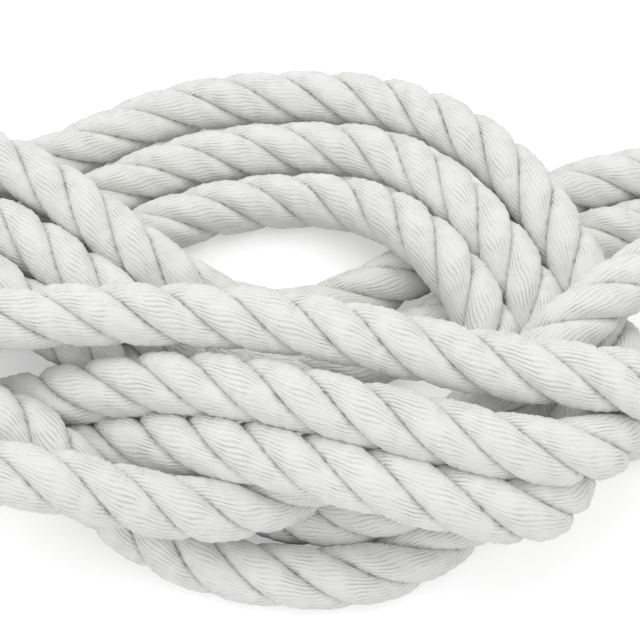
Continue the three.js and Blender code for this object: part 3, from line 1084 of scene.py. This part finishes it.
@dataclass
class CutYarns:
    """The ends of the yarns where the rope is cut, standing out unevenly from the three strands."""

    lay: RopeLay
    guide: Guide
    start: float
    yarn_radius: float = 0.6 * MM
    yarn_length: float = 3.4 * MM
    rings: int = 2
    shortest: float = 0.1 * MM
    longest: float = 2.0 * MM
    name: str = "end_cut_yarns"

    def one_yarn(self) -> bpy.types.Object:
        """Models the end of one yarn, which opens a little where it is cut.

        Returns:
            The yarn, upright, with its cut end at the origin's height and up.
        """
        bpy.ops.object.select_all(action="DESELECT")
        bpy.ops.mesh.primitive_cylinder_add(
            vertices=8, radius=self.yarn_radius, depth=self.yarn_length, location=(0, 0, -self.yarn_length / 2)
        )
        yarn = bpy.context.active_object
        bpy.ops.object.transform_apply(location=True, rotation=True, scale=True)
        top = yarn.data
        bpy.ops.object.mode_set(mode="EDIT")
        bpy.ops.mesh.select_all(action="DESELECT")
        bpy.ops.object.mode_set(mode="OBJECT")
        for face in top.polygons:
            face.select = face.normal.z > 0.9
        bpy.ops.object.mode_set(mode="EDIT")
        bpy.ops.transform.resize(value=(1.12, 1.12, 1.0), center_override=(0, 0, 0))
        bpy.ops.mesh.inset(thickness=0.3 * self.yarn_radius, depth=0.2 * self.yarn_radius)
        bpy.ops.mesh.inset(thickness=0.25 * self.yarn_radius, depth=-0.3 * self.yarn_radius)
        bpy.ops.object.mode_set(mode="OBJECT")
        layer = top.uv_layers[0]
        layer.name = "yarns"
        for corner in layer.data:
            corner.uv = (corner.uv[0] * TURN * self.yarn_radius, corner.uv[1] * 2 * self.yarn_length)
        top.shade_smooth()
        return yarn

    def packed(self) -> list[tuple[float, float]]:
        """Gives the places of a strand's yarns about its centre, in rings round a middle one."""
        places = [(0.0, 0.0)]
        for ring in range(1, self.rings + 1):
            radius = ring * 1.95 * self.yarn_radius
            for i in range(6 * ring):
                angle = TURN * (i + 0.5 * ring) / (6 * ring)
                places.append((radius * math.cos(angle), radius * math.sin(angle)))
        return places

    def build(self) -> bpy.types.Object:
        """Copies the yarn to its places in the three strands and joins the copies.

        Returns:
            All the cut yarns as one piece.
        """
        pattern = self.one_yarn()
        dice = np.random.default_rng(7)
        copies = []
        for strand in range(self.lay.strands):
            angle = float(self.lay.angle(self.start, strand))
            centre = Vector((math.cos(angle), math.sin(angle), 0)) * self.lay.strand_circle
            for across, up in self.packed():
                copy = pattern.copy()
                copy.data = pattern.data.copy()
                bpy.context.scene.collection.objects.link(copy)
                lean = Vector((across, up, 0)) * float(dice.uniform(0.02, 0.16))
                out = float(dice.uniform(self.shortest, self.longest))
                for vertex in copy.data.vertices:
                    bend = 1 + vertex.co.z / self.yarn_length
                    vertex.co += centre + Vector((across, up, out)) + lean * bend
                copies.append(copy)
        bpy.data.objects.remove(pattern)
        select_only(copies[0])
        for copy in copies:
            copy.select_set(True)
        bpy.ops.object.join()
        yarns = bpy.context.active_object
        yarns.name = yarns.data.name = self.name
        self.stand_on_end(yarns)
        return yarns

    def stand_on_end(self, yarns: bpy.types.Object) -> None:
        """Moves the yarns from upright about the origin to the rope's cut end, facing out of it."""
        here = Vector(self.guide.place(self.start, 0.0, 0.0))
        normal = Vector(self.guide.normals[0])
        binormal = Vector(self.guide.binormals[0])
        outward = -Vector(self.guide.tangents[0])
        for vertex in yarns.data.vertices:
            x, y, z = vertex.co
            vertex.co = here + normal * x + binormal * y + outward * z
        select_only(yarns)
        bpy.ops.object.mode_set(mode="EDIT")
        bpy.ops.mesh.select_all(action="SELECT")
        bpy.ops.mesh.normals_make_consistent(inside=False)
        bpy.ops.object.mode_set(mode="OBJECT")


# ---------- the studio ----------


@dataclass
class Studio:
    """A plain white floor, soft light and the camera."""

    target: tuple[float, float, float]
    distance: float = 0.290
    elevation: float = 62.0
    lens: float = 77.5
    floor_size: float = 6.0
    world_strength: float = 0.85
    floor_glow: float = 0.35

    def build(self) -> None:
        """Builds all of it."""
        bpy.context.scene.view_settings.view_transform = "Standard"
        self.add_camera()
        self.add_lamps()
        self.add_floor()

    def add_camera(self) -> None:
        """Adds the camera."""
        data = bpy.data.cameras.new("camera")
        data.lens = self.lens
        data.sensor_width = 36.0
        data.clip_start = 0.01
        camera = bpy.data.objects.new("camera", data)
        bpy.context.scene.collection.objects.link(camera)
        tilt = math.radians(self.elevation)
        back = Vector((0, -math.cos(tilt), math.sin(tilt)))
        camera.location = Vector(self.target) + back * self.distance
        camera.rotation_euler = (math.pi / 2 - tilt, 0, 0)
        bpy.context.scene.camera = camera

    def add_lamp(self, name: str, place: tuple[float, float, float], size: float, power: float) -> None:
        """Adds a soft lamp that faces the target.

        Args:
            name: Its name.
            place: Where it is, from the target.
            size: The side of its square face.
            power: Its power in watts.
        """
        data = bpy.data.lights.new(name, "AREA")
        data.shape = "SQUARE"
        data.size = size
        data.energy = power
        lamp = bpy.data.objects.new(name, data)
        bpy.context.scene.collection.objects.link(lamp)
        lamp.location = Vector(self.target) + Vector(place)
        lamp.rotation_euler = (-Vector(place)).to_track_quat("-Z", "Y").to_euler()

    def add_lamps(self) -> None:
        """Adds the lamps and the light of the room."""
        world = bpy.data.worlds.new("studio")
        world.use_nodes = True
        world.node_tree.nodes["Background"].inputs["Color"].default_value = (1, 1, 1, 1)
        world.node_tree.nodes["Background"].inputs["Strength"].default_value = self.world_strength
        bpy.context.scene.world = world
        self.add_lamp("overhead", (-0.3, 0.5, 1.5), 1.4, 6.0)

    def add_floor(self) -> None:
        """Adds the floor, which looks white and keeps a soft shadow of the object."""
        bpy.ops.object.select_all(action="DESELECT")
        bpy.ops.mesh.primitive_plane_add(size=self.floor_size, location=(self.target[0], self.target[1], 0))
        floor = bpy.context.active_object
        floor.name = floor.data.name = "floor"
        bpy.ops.object.transform_apply(location=True, rotation=True, scale=True)
        material = bpy.data.materials.new("white_floor")
        material.use_nodes = True
        graph = NodeGraph(material.node_tree)
        shader = material.node_tree.nodes["Principled BSDF"]
        shader.inputs["Base Color"].default_value = (0.9, 0.9, 0.9, 1)
        shader.inputs["Roughness"].default_value = 0.95
        shader.inputs["Emission Color"].default_value = (1, 1, 1, 1)
        rays = graph.add("ShaderNodeLightPath")
        seen = graph.math("MAXIMUM", rays.outputs["Is Camera Ray"], rays.outputs["Is Glossy Ray"])
        seen = graph.math("MAXIMUM", seen, rays.outputs["Is Transmission Ray"])
        graph.join(graph.math("MULTIPLY", seen, self.floor_glow), shader.inputs["Emission Strength"])
        floor.data.materials.append(material)


# ---------- the whole line ----------


@dataclass
class RopeRoute:
    """Where the rope lies."""

    settling: Settling = field(default_factory=Settling)
    samples: int = 24
    tip: float = 5 * MM
    end_lift: float = 1.7 * MM
    splice_lift: float = 2.6 * MM
    end_slope: float = 40 * MM
    splice_slope: float = 30 * MM
    finer: float = 10 * MM

    def share(self, after: str) -> float:
        """Gives the share of the route that lies before the end of a stretch."""
        route = np.vstack(list(STRETCHES.values()))
        names = list(STRETCHES)
        count = sum(len(STRETCHES[name]) for name in names[: names.index(after) + 1])
        along = distances(smooth_curve(route, self.samples))
        return float(along[round((count - 0.5) * self.samples)] / along[-1])

    def build(self, ring_step: float) -> tuple[Guide, tuple[float, float], np.ndarray]:
        """Lays the rope's line.

        Args:
            ring_step: Distance between its points.

        Returns:
            The line from the cut end to the end of the eye, where along it the splice starts and ends, and how
            far the route was moved to centre it.
        """
        route = np.vstack([np.array(points) for points in STRETCHES.values()])
        settled, shift = self.settling.settle(route)
        line = smooth_curve(settled, self.samples)
        along = distances(line)
        start = self.share("standing_part") * along[-1]
        end = self.share("eye_splice") * along[-1]
        # The whipping and the splice are thicker than the rope, so they hold its centre further off the floor.
        near_end = np.clip(1 - along / self.end_slope, 0, 1)
        beside = np.maximum(start - along, along - end)
        near_splice = np.clip(1 - np.maximum(beside, 0) / self.splice_slope, 0, 1)
        near_throat = np.clip(1 - (along[-1] - along) / self.end_slope, 0, 1)
        near_eye = np.maximum(ease(near_splice), ease(near_throat))
        line[:, 2] += self.end_lift * ease(near_end) + self.splice_lift * near_eye
        outward = (line[0] - line[1]) / np.linalg.norm(line[0] - line[1])
        line = np.vstack([line[0] + outward * self.tip, line])
        start, end = start + self.tip, end + self.tip
        rope = evenly(line, ring_step)
        finer = with_finer_steps(rope, start - self.finer, end + self.finer)
        return Guide(finer), (start, end), shift


def with_finer_steps(points: np.ndarray, start: float, end: float) -> np.ndarray:
    """Puts two more points in each step of a stretch of a line, where it needs finer rings.

    Args:
        points: The line's points.
        start: Where along the line the fine stretch starts.
        end: Where it ends.

    Returns:
        The points with the new ones among them.
    """
    along = distances(points)
    fine = (along[:-1] > start) & (along[1:] < end)
    added = [along[:-1][fine] * (1 - share) + along[1:][fine] * share for share in (1 / 3, 2 / 3)]
    wanted = np.sort(np.concatenate([along, *added]))
    return np.stack([np.interp(wanted, along, points[:, axis]) for axis in range(3)], axis=1)


def ease(share: np.ndarray) -> np.ndarray:
    """Turns a straight rise from 0 to 1 into one that starts and ends softly."""
    return share * share * (3 - 2 * share)


def corners(low: Vector, high: Vector) -> list[list[float]]:
    """Gives a box's two corners as plain lists of numbers."""
    return [[float(x) for x in low], [float(x) for x in high]]


def main() -> None:
    """Builds the studio and the line, piece by piece."""
    logging.basicConfig(level=logging.INFO, format="%(name)s: %(message)s")
    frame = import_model()

    lay = RopeLay()
    guide, splice, shift = RopeRoute().build(lay.ring_step)
    Studio(target=(float(shift[0]), float(shift[1]), VIEW_HEIGHT)).build()
    LOG.info("studio: camera, lamps and floor")

    cotton = CottonFinish().material()
    twine = TwineFinish().material()

    whipping = EndWhipping(guide, start=RopeRoute.tip + 0.3 * MM)
    rope = DockLine(lay, guide, splice, (whipping.start, whipping.start + whipping.length)).build()
    dress(rope, cotton)
    stretches = [name for name in frame["nodes"] if name in STRETCHES and name != "eye_splice"]
    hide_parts(*stretches)
    LOG.info("%s: %.3f m of rope for %d stretches", rope.name, guide.length, len(stretches))

    tucks = EyeSplice(lay, guide, splice).build()
    dress(tucks, cotton)
    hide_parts("eye_splice")
    LOG.info("%s: three strands tucked along %.0f mm", tucks.name, (splice[1] - splice[0]) / MM)

    wound = whipping.build()
    dress(wound, twine)
    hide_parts("end_whipping")
    LOG.info("%s: %d turns of twine", wound.name, whipping.turns)

    yarns = CutYarns(lay, guide, start=0.0).build()
    dress(yarns, cotton)
    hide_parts("end_tip")
    LOG.info("%s: placed", yarns.name)


if __name__ == "__main__":
    main()
